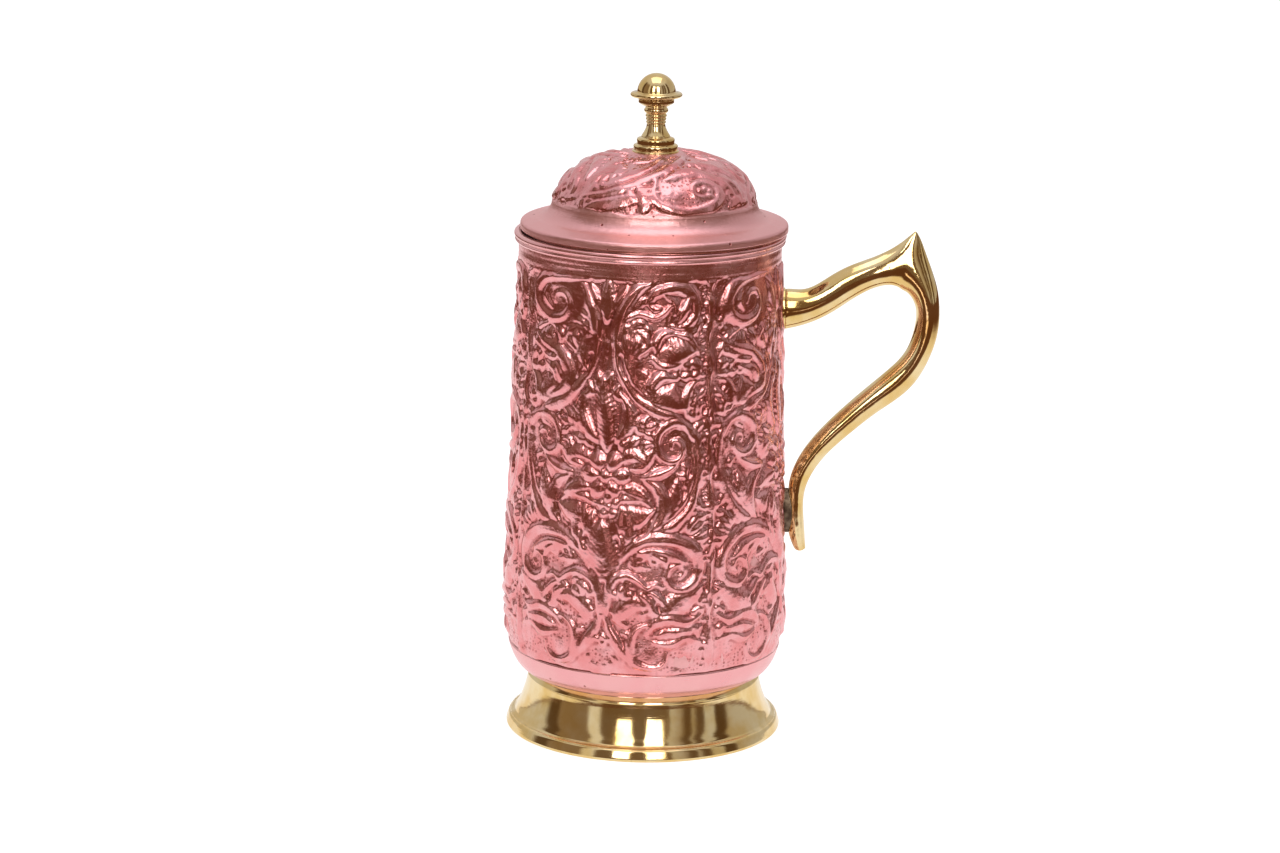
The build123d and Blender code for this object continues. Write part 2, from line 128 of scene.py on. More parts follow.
# ---- embossing, drawn on a flat grid ----
class Relief:
    """Embossing in mm on a flat grid: s runs round the piece and t runs up it. Motifs are drawn
    as given when side is 1 and as their mirror image about s = 0 when side is -1. ground is 1
    where the punched ground shows."""

    def __init__(self, half_width, low, high):
        self.side = 1
        self.s = np.arange(-half_width, half_width + GRID, GRID)
        self.t = np.arange(low, high + GRID, GRID)
        shape = (len(self.t), len(self.s))
        self.height = np.full(shape, GROUND_LEVEL)
        self.ground = np.ones(shape)

    def window(self, low, high):
        """The part of the grid between two corners, as slices and as coordinates."""
        columns = slice(*np.searchsorted(self.s, (low[0], high[0])))
        rows = slice(*np.searchsorted(self.t, (low[1], high[1])))
        return (rows, columns), *np.meshgrid(self.s[columns], self.t[rows])

    def round_window(self, centre, radius):
        """The part of the grid round a centre, as slices and as distances out and up from it."""
        centre = np.array(centre, float) * (self.side, 1)
        where, s, t = self.window(centre - radius - 1, centre + radius + 1)
        return where, self.side * (s - centre[0]), t - centre[1]

    def beside(self, knots, reach):
        """Signed distance from a curve (left is positive), the share of its length, its length."""
        path = curve(knots) * (self.side, 1)
        where, s, t = self.window(path.min(0) - reach, path.max(0) + reach)
        steps = np.hypot(*np.diff(path, axis=0).T)
        length = steps.sum()
        starts = np.concatenate([[0], np.cumsum(steps)])
        nearest = np.full(s.shape, np.inf)
        across = np.zeros(s.shape)
        share = np.zeros(s.shape)
        for a, b, step, start in zip(path, path[1:], steps, starts):
            ds, dt = (b - a) / step
            run = np.clip((s - a[0]) * ds + (t - a[1]) * dt, 0, step)
            off_s = s - a[0] - run * ds
            off_t = t - a[1] - run * dt
            distance = np.hypot(off_s, off_t)
            closer = distance < nearest
            nearest[closer] = distance[closer]
            left = np.where(ds * off_t - dt * off_s > 0, self.side, -self.side)
            across[closer] = (left * distance)[closer]
            share[closer] = ((start + run) / length)[closer]
        return where, across, share, length

    def lay(self, where, height, edge, soft=0.35):
        """Put a motif over what is there. edge is the distance inside the motif's outline."""
        cover = smooth_step(-soft / 2, soft, edge)
        self.height[where] += (height - self.height[where]) * cover
        self.ground[where] *= 1 - cover
        self.height[where] -= CHASED_LINE * np.exp(-(((edge + 0.35) / 0.4) ** 2))

    def stem(self, knots, widths, rise=1.0, grooves=0):
        """A smooth rounded stem. widths are half widths at equal steps along it, and grooves is
        the number of fine lines that run along it."""
        widths = np.array(widths) * STEM_FULLNESS
        widest = widths.max()
        where, across, share, _ = self.beside(knots, widest + 1.5)
        width = np.interp(share, np.linspace(0, 1, len(widths)), widths)
        place = np.clip(across / width, -1, 1)
        height = rise * (width / widest) ** 0.5 * (1 - place**2) ** 0.85
        if grooves:
            ridges = abs(np.sin(math.pi * (grooves + 1) * (place + 1) / 2)) ** 0.5
            height *= 1 - 0.4 * (1 - ridges)
        self.lay(where, height, width - abs(across))

    def leaf(self, knots, left, right, pitch=2.0, slant=0.7, rise=0.95, cut=0.28):
        """A ribbed leaf along a spine, with its own half width each side and a scalloped edge."""
        reach = max(left, right)
        where, across, share, length = self.beside(knots, reach + 1.5)
        distance = abs(across)
        side_width = np.where(across > 0, left, right)
        rib = abs(np.sin(np.pi * (share * length + 0.5 - slant * distance) / pitch))
        full = np.clip(np.sin(np.pi * np.clip(share, 0.015, 0.985) ** 0.8), 0, 1) ** 0.6
        width = side_width * full * (0.82 + 0.18 * rib) + 0.05
        inside = np.clip(1 - (distance / width) ** 2, 0, 1)
        height = rise * inside**0.7 - cut * (1 - rib**0.7) * smooth_step(0.1, 0.9, distance)
        height -= 0.25 * np.exp(-((distance / 0.35) ** 2))
        self.lay(where, height, width - distance)

    def frond(self, knots, count, length, width, turn=50, curl=45, hands=(1, -1), rise=0.65):
        """Curved lobes along a spine, each shorter than the last. hands picks its sides."""
        path = curve(knots)
        for k in range(count):
            place = (k + 0.3) / count * (len(path) - 2)
            root = path[int(place)]
            ahead = path[int(place) + 1] - path[int(place)]
            heading = math.atan2(ahead[1], ahead[0])
            size = 1 - 0.5 * k / count
            for hand in hands:
                out = heading + hand * math.radians(turn)
                tip = heading + hand * math.radians(turn - curl)
                middle = root + 0.5 * size * length * np.array((math.cos(out), math.sin(out)))
                end = middle + 0.5 * size * length * np.array((math.cos(tip), math.sin(tip)))
                wide = width * size
                self.stem([root, middle, end], (0.5 * wide, wide, 0.8 * wide, 0.2 * wide), rise)

    def petals(self, centre, inner, outer, count, start, sweep, rise=0.9):
        """Rounded petals or lobes round a centre, from start over sweep degrees."""
        where, out, up = self.round_window(centre, outer)
        radius = np.hypot(out, up)
        angle = (np.degrees(np.arctan2(up, out)) - start) % 360
        turn = angle / sweep * count
        across = (turn % 1) - 0.5
        middle, half = (inner + outer) / 2, (outer - inner) / 2
        along = (radius - middle) / half
        half_width = np.radians(sweep / count) * radius
        side = across * 2.1 * np.where(along > 0, 1 + 0.25 * along**2, 1)
        inside = 1 - np.sqrt(along**2 + side**2)
        inside = np.where(turn < count, inside, -1)
        edge = inside * np.minimum(half, half_width)
        height = rise * np.clip(inside * 1.6, 0, 1) ** 0.5
        height -= 0.25 * np.exp(-((across * half_width / 0.3) ** 2))
        self.lay(where, height, edge)

    def boss(self, centre, radius, rise=1.0):
        """A small domed boss."""
        where, out, up = self.round_window(centre, radius)
        distance = np.hypot(out, up)
        inside = np.clip(1 - (distance / radius) ** 2, 0, 1)
        self.lay(where, rise * inside**0.6, radius - distance)

    def cuts(self, start, end, count, angle, length, depth=0.45, width=0.45):
        """A row of short tapered chisel cuts between two points, all at one angle."""
        c, d = self.side * math.cos(math.radians(angle)), math.sin(math.radians(angle))
        for centre in np.linspace(start, end, count) * (self.side, 1):
            where, s, t = self.window(centre - length, centre + length)
            along = ((s - centre[0]) * c + (t - centre[1]) * d) / (length / 2)
            across = (t - centre[1]) * c - (s - centre[0]) * d
            fade = np.clip(1 - along**2, 0, 1)
            self.height[where] -= depth * fade * np.exp(-((across / width) ** 2))


def draw_panel_fill(r):
    """Foliage that fills the ground behind the stems, in the right half of a wall panel."""
    r.cuts((22, 43), (40, 43), 6, 84, 6, 0.5, 0.5)
    r.frond([(8, 181), (15, 184.5), (23, 188)], 3, 9, 2.0, 45, 30)
    r.frond([(38.5, 176), (33, 178), (27, 179.5)], 3, 6, 1.8)
    r.frond([(16, 180), (12.5, 173), (11.5, 164)], 3, 8, 2.0, 50, 40)
    r.frond([(38.5, 160), (30, 160), (20, 161)], 4, 6, 1.8)
    r.frond([(12, 160), (15.5, 154), (21, 149)], 3, 7.5, 2.0, 50, 50)
    r.frond([(33, 142), (36.5, 147), (38.5, 154)], 3, 7, 1.8)
    r.frond([(39.5, 141), (40, 132), (40.5, 124)], 3, 5, 1.5)
    r.frond([(2, 160), (7, 153), (11.5, 146), (15, 141)], 4, 7, 1.9, 50, 40, (-1,))
    r.frond([(11, 137), (17, 139.5), (24, 141)], 3, 6, 1.7)
    r.frond([(6, 126), (12, 129), (19, 128)], 3, 7, 1.9)
    r.frond([(37, 112), (35, 118.5), (29, 121)], 3, 7, 1.9, 55, 50)
    r.frond([(34, 99), (37, 103), (40.5, 109)], 3, 7, 1.8)
    r.frond([(26, 94.5), (33, 95.5), (40, 94.5)], 4, 7, 1.9, 55, 40, (1,))
    r.frond([(34, 89), (38.5, 92), (41, 97)], 3, 6, 1.7)
    r.frond([(11, 85), (17, 84), (23, 86)], 3, 7, 1.8)
    r.frond([(8.5, 77), (7.5, 71), (10, 64)], 3, 7.5, 1.9, 55, 50, (1,))
    r.frond([(20, 73), (18, 66), (19, 58)], 3, 7, 1.8)
    r.frond([(38.5, 72), (37, 66), (39, 59)], 3, 6, 1.7)
    r.frond([(3.5, 63), (7, 56), (11, 49)], 3, 7, 1.8, 50, 40, (1,))
    r.frond([(39, 52), (33, 54), (26, 54)], 3, 6, 1.7)


def draw_panel_half(r):
    """The half of a wall panel to the right of its middle line."""
    # ribbed and lobed leaves, which lie behind the stems
    r.leaf([(7, 180), (6.5, 172), (8, 164), (11.5, 156), (17, 149.5), (22, 146)], 6.5, 0.6)
    r.leaf([(20, 163.5), (25, 162.3), (31, 163.8), (38.5, 167)], 12.5, 0.8, 2.2, 0.1)
    r.leaf([(17, 150), (22, 145.8), (28, 144), (35, 145)], 13, 0.6, 2.2, 0.15)
    r.leaf([(20, 96), (25, 102), (28.5, 109), (29.5, 117)], 4.5, 3.5, 2.3)
    r.leaf([(5, 93), (9.5, 97.5), (15, 99.5), (20, 104)], 9, 1, 2.2, 0.3)
    r.leaf([(4.5, 81.5), (9, 88.5), (11.3, 96), (9.5, 103)], 2.8, 2.8)
    r.leaf([(14, 88.5), (21, 89), (28, 87.3), (33, 83)], 0.8, 5.5, 2.2)
    r.leaf([(4.6, 59), (8.2, 63.2), (13, 66.5), (19, 65)], 4.2, 4.2)
    r.leaf([(24, 60.5), (29, 65), (34, 69.5), (40, 73)], 5.5, 5.5, 2.3)
    r.leaf([(21, 53), (28, 54.6), (36, 54.2)], 2.6, 2.6)
    r.leaf([(10, 120.5), (15, 123), (19, 129)], 3.0, 3.0)
    r.petals((10.5, 163.5), 2.5, 12.5, 4, 30, 115, 1.1)
    r.petals((29.5, 91), 4, 13, 5, 2, 78, 1.0)
    r.petals((7.6, 66.5), 0.8, 6.8, 3, 20, 140, 1.0)
    r.petals((14, 136), 0.8, 6.2, 4, -60, 220, 1.1)
    r.cuts((14.5, 77.5), (15, 86), 4, 5, 8)
    # plump leaves and buds
    r.stem([(16, 186), (21, 191.5), (29, 193), (35.5, 188.5), (36, 181.5), (31.5, 177.5), (26.5, 178)],
           (0.5, 1.8, 2.3, 2.1, 1.8, 1.2, 0.5), 1.1, 1)
    r.cuts((15, 184), (18.5, 191), 5, 8, 9, 0.5, 0.5)
    r.stem([(28.5, 179), (31, 183.5), (33, 189)], (0.7, 2.0, 0.6), 1.2)
    r.stem([(24, 190), (27.5, 187), (28, 182.5)], (0.5, 1.1, 0.4))
    r.stem([(5.8, 177), (9, 181), (14, 182.6), (19, 181), (23, 182.6), (26.5, 186.5)],
           (0.4, 0.9, 1.0, 0.9, 0.4))
    r.stem([(20.8, 166), (20.8, 171), (23.5, 174.8), (28, 175)], (0.5, 1.8, 1.6, 0.5), 1.2)
    r.stem([(28, 175), (33.5, 173), (37.3, 168.6), (39, 164)], (0.5, 1.1, 1.0, 0.3))
    r.stem([(18.5, 165), (24, 161.8), (31, 162.8)], (0.4, 1.5, 0.5), 1.2)
    r.stem([(13, 176.5), (16.5, 173.5), (18, 169)], (0.4, 1.3, 0.4), 1.1)
    r.stem([(19, 150), (19.6, 155.5), (23.5, 158.3), (29, 157)], (0.5, 2.0, 1.8, 0.5), 1.2)
    r.stem([(33, 142), (32.4, 148.5), (35, 154), (39, 155.5)], (0.5, 1.5, 1.3, 0.4), 1.0, 1)
    r.stem([(36.6, 141), (36.3, 147), (39, 150.5)], (0.4, 1.0, 0.3))
    r.stem([(13, 161), (14.5, 154.5), (19, 149.8)], (0.3, 0.8, 0.3))
    r.stem([(14.5, 117), (20.5, 118.3), (25.5, 120.5), (30, 124)], (0.4, 1.7, 1.3, 0.4), 1.2)
    r.stem([(16, 116), (20.8, 113), (23.8, 107), (23, 100), (18, 94.8)], (0.6, 2.0, 2.4, 1.9, 0.6), 1.1, 2)
    r.stem([(3.5, 106.5), (9, 109), (14.5, 109), (19, 105.5)], (0.4, 1.7, 1.4, 0.5), 1.2)
    r.stem([(20, 87), (24, 84.5), (26.5, 80.5)], (0.5, 1.3, 0.4), 1.1)
    r.stem([(14.5, 70.5), (19, 67.5), (21.5, 62.5), (26, 59.5)], (0.5, 1.4, 1.2, 0.4))
    r.stem([(20, 71.5), (23, 69), (25.5, 64.5)], (0.5, 1.3, 0.4), 1.1)
    r.stem([(17.5, 53), (20.5, 57.5), (27, 60), (34, 58.5), (39.5, 61)], (0.5, 1.8, 2.0, 1.5, 0.5), 1.2)
    r.stem([(20, 50.5), (26.5, 49.3), (33, 51.8), (39, 50.2)], (0.5, 1.6, 1.4, 0.5), 1.1)
    # the stems and their scrolls
    r.stem([(18, 195.4), (12.5, 192.3), (8, 187), (5.2, 180.5), (4.2, 174), (4.2, 168), (5.6, 161.5),
            (9, 155), (14, 148.8), (21, 143.8), (28, 141), (34, 137.8)],
           (0.5, 2.5, 2.2, 1.2, 1.0, 1.3, 2.0, 1.8, 1.0), 1.3, 1)
    r.stem([(30, 140.2), (35.5, 137), (38.3, 131), (38.8, 123), (37.3, 114), (33.8, 105.5), (28.3, 98.6),
            (22, 94.6), (15, 91.2), (9, 86.3), (5, 80.3), (2.3, 73), (1, 66), (0.9, 60)],
           (0.7, 1.4, 1.5, 1.3, 1.6, 1.3, 1.2, 1.3, 0.8), 1.2, 1)
    r.stem([(36.2, 131), (36.4, 123), (34.6, 114.5), (31, 106.5), (25, 100)], (0.3, 0.7, 0.8, 0.3), 0.7)
    r.stem([(36, 133.5), (33, 138), (28, 139.3), (22.8, 137), (20, 131.8), (21, 126.5), (25.2, 124),
            (29.6, 125.4), (31.3, 129.2), (29.6, 132.2), (26.8, 131.6), (26.3, 129.2)],
           (0.6, 1.6, 1.8, 1.5, 1.2, 0.9, 0.6), 1.2, 1)
    r.stem([(7.5, 83.5), (11.5, 89), (17, 92.6), (24, 93.3), (31, 91.4), (36.6, 86.5), (38.3, 80),
            (36.2, 74.8), (31.5, 72.2), (27.2, 73.6), (25.6, 77.6), (27.4, 81.6), (30.9, 82.2),
            (32.4, 79.3), (31, 77)], (0.8, 1.7, 2.3, 2.2, 1.9, 1.5, 1.2, 0.9, 0.6), 1.2, 1)
    r.stem([(1.6, 61), (2.4, 68.5), (5, 74.8), (10, 77.4), (14.8, 75.6), (18, 73.2), (21.6, 74.6),
            (24.6, 73)], (0.7, 1.1, 1.4, 1.0, 0.4), 1.1, 1)
    r.stem([(18, 57.6), (13.2, 54.6), (11, 48.5), (12.2, 42.4), (16.4, 39.2), (21, 39), (24.6, 42),
            (25.2, 46)], (0.5, 1.4, 1.4, 1.1, 0.4), 1.1)
    r.stem([(0.8, 60.5), (3, 54.5), (6.8, 48), (11.3, 42.2)], (0.8, 1.9, 0.5), 1.1)
    # the border between two panels
    rib = [(42.4 + 0.5 * math.sin(1.7 * k) + 0.4 * math.sin(2.9 * k), 36 + 5.0 * k) for k in range(34)]
    r.stem(rib, (0.9, 0.7, 1.0, 0.7, 0.9), 0.8)
    for k in range(50 if r.side == 1 else 0):
        r.boss((40.2 + 0.6 * math.sin(2.3 * k), 40 + 3.1 * k + 0.5 * math.sin(4.1 * k)), 0.8, 0.5)


def draw_panel_middle(r):
    """The motifs on a wall panel's middle line."""
    for side in (1, -1):
        r.side = side
        r.leaf([(4, 130.5), (8.5, 137), (9.8, 145), (6.5, 152)], 3.0, 3.0)
        r.stem([(1, 181), (3.8, 187), (8, 193.5)], (0.5, 1.4, 0.4), 1.1)
        r.stem([(0.6, 77), (6, 83.5), (8.4, 91), (5.5, 98.5)], (0.5, 0.9, 0.9, 0.3))
        r.leaf([(6.5, 112.5), (12, 111.8), (18, 108.5)], 3.0, 3.0)
        r.leaf([(5, 123.5), (11, 126), (17, 122.5)], 2.6, 3.0)
    r.side = 1
    # the upper volute on the left is round and plain, and the leaf below it is smooth
    r.boss((-23, 186.5), 13, 0.05)
    r.stem([(-8, 195.3), (-19, 196.3), (-29, 194.4), (-35, 188.5), (-34.2, 181.5), (-28, 177.6),
            (-20.6, 179), (-17.2, 184), (-19.6, 188.8), (-24.2, 188.4), (-25, 184.6)],
           (0.5, 1.4, 1.8, 2.1, 1.9, 1.5, 1.2, 0.9, 0.5), 1.2, 1)
    r.stem([(-28.5, 190.5), (-29.8, 186), (-26.6, 181.8)], (0.4, 1.2, 0.4))
    r.stem([(-38, 172), (-30, 167.5), (-21.5, 165), (-16, 158.5), (-17, 151), (-25, 146.5)],
           (0.6, 1.4, 1.9, 2.5, 2.0, 0.6), 1.2)
    r.stem([(-30, 160), (-24, 157.5), (-21.5, 152.5)], (0.5, 1.8, 0.5), 1.1, 2)
    r.stem([(-4, 174), (-8, 171), (-10, 165), (-8, 159.5)], (0.5, 2.2, 2.0, 0.5), 1.2, 1)
    r.leaf([(0, 179), (0, 188), (0, 197)], 3.4, 3.4, 2.0)
    r.leaf([(0, 127.5), (0.2, 142), (0, 158)], 4.6, 4.6, 2.3)
    r.petals((0, 117.5), 2.0, 10.2, 6, 90, 360, 1.2)
    r.boss((0, 117.5), 2.6, 1.2)
    r.petals((1.9, 105.6), 0.8, 5.2, 5, 60, 360, 1.1)
    r.boss((1.9, 105.6), 1.4, 1.1)
    r.leaf([(0, 75.5), (0, 88), (0, 100)], 7.5, 7.5, 2.4, 1.0)
    r.petals((0, 48.6), 0.6, 5.0, 3, 25, 130, 1.0)
    r.boss((0, 49), 1.5)
    r.cuts((0, 160), (0, 178), 5, 90, 3)
    for angle in (-150, -125, -100, -75, -50, -30):
        middle = np.array((math.cos(math.radians(angle)), math.sin(math.radians(angle)))) * 6.5
        r.cuts(middle + (0, 48), middle + (0, 48), 1, angle, 6)


def blurred(grid, size):
    """The grid blurred over size mm. It closes on itself, as the design does round the jug."""
    rows, columns = grid.shape
    up = np.fft.fftfreq(rows, GRID)[:, None]
    across = np.fft.rfftfreq(columns, GRID)[None, :]
    passed = np.exp(-2 * (math.pi * size) ** 2 * (up**2 + across**2))
    return np.fft.irfft2(np.fft.rfft2(grid) * passed, grid.shape)


def stroke_ground(r, seed):
    """Curved chisel strokes over the ground, in patches that run different ways."""
    s, t = np.meshgrid(abs(r.s), r.t)
    swirl = 9 * cloud(s, t, 15, seed) + 3.5 * cloud(s, t, 7, seed + 1)
    along = np.where(cloud(s, t, 17, seed + 2) > 0, 0.35 * s + t, s - 0.3 * t)
    ridge = abs(np.sin(math.pi * (along + swirl) / 3.6))
    patch = smooth_step(0.0, 0.35, cloud(s, t, 9, seed + 3))
    r.height += (0.45 * ridge**0.8 - 0.1) * patch
    r.ground *= 1 - patch


def shaped(r):
    """The finished height of a design, and how far each point stands above what is round it."""
    fine = blurred(r.height, TOOL_ROUNDING)
    swelling = blurred(fine, SWELLING)
    height = FINE_SHARE * fine + SWELLING_SHARE * (swelling - swelling.mean())
    return height, fine - blurred(fine, 1.1)


def wall_panel():
    panel = Relief(*WALL_DESIGN)
    stroke_ground(panel, 5)
    for draw in (draw_panel_fill, draw_panel_half):
        for side in (1, -1):
            panel.side = side
            draw(panel)
    draw_panel_middle(panel)
    return panel


# ---- outlines, as (radius, height) points ----
def rounded(corners, arc_steps=5):
    """Points through corners of (radius, height, cut). Each corner is rounded off over its cut."""
    corners = np.array(corners, float)
    points = []
    for k, cut in enumerate(corners[:, 2]):
        here = corners[k, :2]
        if cut == 0:
            points.append(here)
            continue
        before = corners[k - 1, :2] - here
        after = corners[(k + 1) % len(corners), :2] - here
        start = here + before / np.hypot(*before) * cut
        end = here + after / np.hypot(*after) * cut
        for share in np.linspace(0, 1, arc_steps):
            points.append((1 - share) ** 2 * start + 2 * share * (1 - share) * here + share**2 * end)
    return np.array(points)


def arc(centre, radius, start, end, steps):
    """Points along an arc, with its angles in degrees from the radial direction."""
    angles = np.radians(np.linspace(start, end, steps))
    return np.array(centre) + radius * np.stack([np.cos(angles), np.sin(angles)], 1)


def spaced(path, step):
    """The path with points added so that none are further apart than step."""
    pieces = []
    for a, b in zip(path, path[1:]):
        count = max(1, math.ceil(np.hypot(*(b - a)) / step))
        pieces.append(a + (b - a) * np.linspace(0, 1, count, endpoint=False)[:, None])
    return np.vstack(pieces + [path[-1:]])


def closed(outline, step):
    """A closed outline with no two points further apart than step."""
    return spaced(np.vstack([outline, outline[:1]]), step)[:-1]


def offset_inwards(path, distance):
    """The path moved towards its left-hand side."""
    along = np.gradient(path, axis=0)
    along /= np.hypot(*along.T)[:, None]
    return path + distance * np.stack([-along[:, 1], along[:, 0]], 1)


def wall_radius(height):
    """Outside radius of the wall and the bottom cup at a height."""
    taper = curve([(57.2, 47), (57.0, 75), (55.4, 108), (54.1, 152), (MOUTH_RADIUS, 192)])
    across, down = CORNER_HALF_AXES
    depth = np.clip((CORNER_CENTRE[1] - height) / down, 0, 1)
    corner = CORNER_CENTRE[0] + across * np.sqrt(1 - depth**2)
    above = np.interp(height, taper[:, 1], taper[:, 0])
    return np.where(height < CORNER_CENTRE[1], corner, above)


# ---- meshes ----
def add_piece(name, points, quads, body, nodes, material, values=None):
    """A smooth-shaded mesh from points in mm, riding on a body in place of CAD nodes."""
    mesh = bpy.data.meshes.new(name)
    mesh.vertices.add(len(points))
    mesh.vertices.foreach_set("co", (points * MM).astype(np.float32).ravel())
    mesh.loops.add(quads.size)
    mesh.loops.foreach_set("vertex_index", quads.astype(np.int32).ravel())
    mesh.polygons.add(len(quads))
    mesh.polygons.foreach_set("loop_start", np.arange(0, quads.size, 4, dtype=np.int32))
    mesh.update(calc_edges=True)
    mesh.shade_smooth()
    for key, value in (values or {}).items():
        layer = mesh.attributes.new(key, "FLOAT", "POINT")
        layer.data.foreach_set("value", value.astype(np.float32).ravel())
    mesh.materials.append(material)
    piece = bpy.data.objects.new(name, mesh)
    bpy.context.scene.collection.objects.link(piece)
    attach(piece, body)
    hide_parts(*nodes)
    return piece


def ring_quads(rows, columns, closed):
    """Faces of a grid that closes round its columns, and round its rows too when closed is set."""
    row = np.arange(rows if closed else rows - 1)[:, None]
    column = np.arange(columns)[None, :]
    next_row, next_column = (row + 1) % rows, (column + 1) % columns
    corners = [row * columns + column, row * columns + next_column,
               next_row * columns + next_column, next_row * columns + column]
    return np.stack(corners, -1).reshape(-1, 4)


def turned_points(radius, height, centre_x=0.0):
    """Points for arrays of radius and height with one column per direction round the axis."""
    angle = column_angles(radius.shape[1])[None, :]
    x = centre_x + radius * np.cos(angle)
    y = radius * np.sin(angle)
    return np.stack([x, y, np.broadcast_to(height, radius.shape)], -1).reshape(-1, 3)


def column_angles(columns):
    return np.linspace(0, 2 * math.pi, columns, endpoint=False)


def degrees_from_front(columns):
    return np.degrees(column_angles(columns)) + 90


def turned(name, outline, columns, body, node, material, centre_x=0.0, wobble=0.04, seed=1):
    """A turned piece. An outline that starts and ends on the axis is closed there."""
    angle = column_angles(columns)[None, :]
    radius, height = outline[:, :1], outline[:, 1:]
    period = 2 * math.pi * 50
    round_it = angle * 50 + 0 * radius
    uneven = wobble * cloud(round_it, height + 0 * angle, 22, seed, period)
    uneven += 0.4 * wobble * cloud(round_it, height + 0 * angle, 7, seed + 1, period)
    moved = radius + uneven * np.clip(radius / 4, 0, 1)
    on_axis = bool(outline[0, 0] == 0)
    points = turned_points(moved, height, centre_x)
    quads = ring_quads(len(outline), columns, not on_axis)
    piece = add_piece(name, points, quads, body, [node], material)
    if on_axis:
        mesh = bmesh.new()
        mesh.from_mesh(piece.data)
        bmesh.ops.remove_doubles(mesh, verts=mesh.verts, dist=0.002 * MM)
        mesh.to_mesh(piece.data)
        mesh.free()
    return piece


def sample(grid, relief, s, t):
    """The grid's values at the points s, t of its relief, between its nearest four."""
    u = np.clip((s - relief.s[0]) / GRID, 0, len(relief.s) - 1.001)
    v = np.clip((t - relief.t[0]) / GRID, 0, len(relief.t) - 1.001)
    i, k = u.astype(int), v.astype(int)
    fu, fv = u - i, v - k
    low = grid[k, i] * (1 - fu) + grid[k, i + 1] * fu
    high = grid[k + 1, i] * (1 - fu) + grid[k + 1, i + 1] * fu
    return low * (1 - fv) + high * fv


def sampled(design, s, t):
    """The finished height, the crests and the ground of a design at the points s, t."""
    return [sample(grid, design, s, t) for grid in (*shaped(design), design.ground)]


# ---- materials ----
def add_node(tree, kind, inputs=None, **settings):
    """A shader node with its settings, its input values and its links from other sockets."""
    made = tree.nodes.new("ShaderNode" + kind)
    for key, value in settings.items():
        setattr(made, key, value)
    for key, value in (inputs or {}).items():
        if isinstance(value, bpy.types.NodeSocket):
            tree.links.new(value, made.inputs[key])
        else:
            made.inputs[key].default_value = value
    return made


def math_node(tree, operation, a, b=0.0, clamp=False):
    made = add_node(tree, "Math", {0: a, 1: b}, operation=operation)
    made.use_clamp = clamp
    return made.outputs[0]


def times(tree, a, b):
    return math_node(tree, "MULTIPLY", a, b)


def plus(tree, a, b):
    return math_node(tree, "ADD", a, b)


def blend_colours(tree, share, a, b):
    return add_node(tree, "Mix", {0: share, 6: a, 7: b}, data_type="RGBA").outputs[2]


def between(tree, value, low, high):
    """0 below low, 1 above high and a smooth step between."""
    made = add_node(tree, "MapRange", {0: value, 1: low, 2: high}, interpolation_type="SMOOTHSTEP")
    return made.outputs[0]


class Metal:
    def __init__(self, name):
        self.material = bpy.data.materials.new(name)
        self.material.use_nodes = True
        self.tree = self.material.node_tree
        self.tree.nodes.clear()
        place = add_node(self.tree, "TexCoord").outputs["Object"]
        in_mm = add_node(self.tree, "VectorMath", {0: place, "Scale": 1 / MM}, operation="SCALE")
        self.place = in_mm.outputs[0]
        self.height = None

    def noise(self, size_mm, detail=2.0, place=None):
        """Noise from 0 to 1 with features about size_mm across."""
        inputs = {"Vector": place or self.place, "Scale": 1 / size_mm, "Detail": detail}
        return add_node(self.tree, "TexNoise", inputs).outputs[0]

    def spots(self, cell_mm, edge, middle, spread=1.0):
        """1 in a round spot in each cell of cell_mm, fading from middle to edge, in cells."""
        inputs = {"Vector": self.place, "Scale": 1 / cell_mm, "Randomness": spread}
        distance = add_node(self.tree, "TexVoronoi", inputs).outputs["Distance"]
        return between(self.tree, distance, edge, middle)

    def rings(self, centre_x, size_mm):
        """Noise that runs in fine rings round a vertical axis, as a turning tool leaves them."""
        tree = self.tree
        parts = add_node(tree, "SeparateXYZ", {0: self.place}).outputs
        x = math_node(tree, "SUBTRACT", parts[0], centre_x)
        square = plus(tree, times(tree, x, x), times(tree, parts[1], parts[1]))
        radius = math_node(tree, "SQRT", square)
        angle = math_node(tree, "ARCTAN2", parts[1], x)
        around = times(tree, angle, 1.6)
        place = add_node(tree, "CombineXYZ", {0: radius, 1: parts[2], 2: around}).outputs[0]
        return self.noise(size_mm, 2.0, place)

    def add_height(self, value, depth_mm):
        """Adds value times depth_mm to the fine relief that only the shading shows."""
        part = times(self.tree, value, depth_mm)
        self.height = part if self.height is None else plus(self.tree, self.height, part)

    def finish(self, colour, roughness):
        """Metal is paler where it is seen in other metal, so that reds and golds don't build up."""
        tree = self.tree
        seen_in_metal = add_node(tree, "LightPath").outputs["Is Glossy Ray"]
        colour = blend_colours(tree, times(tree, seen_in_metal, MIRRORED_SHARE), colour, MIRRORED)
        bump = add_node(tree, "Bump", {"Height": self.height, "Distance": MM, "Strength": 1.0})
        shader = add_node(tree, "BsdfPrincipled", {
            "Base Color": colour, "Metallic": 1.0, "Roughness": roughness,
            "Normal": bump.outputs[0],
        })
        add_node(tree, "OutputMaterial", {0: shader.outputs[0]})
        return self.material


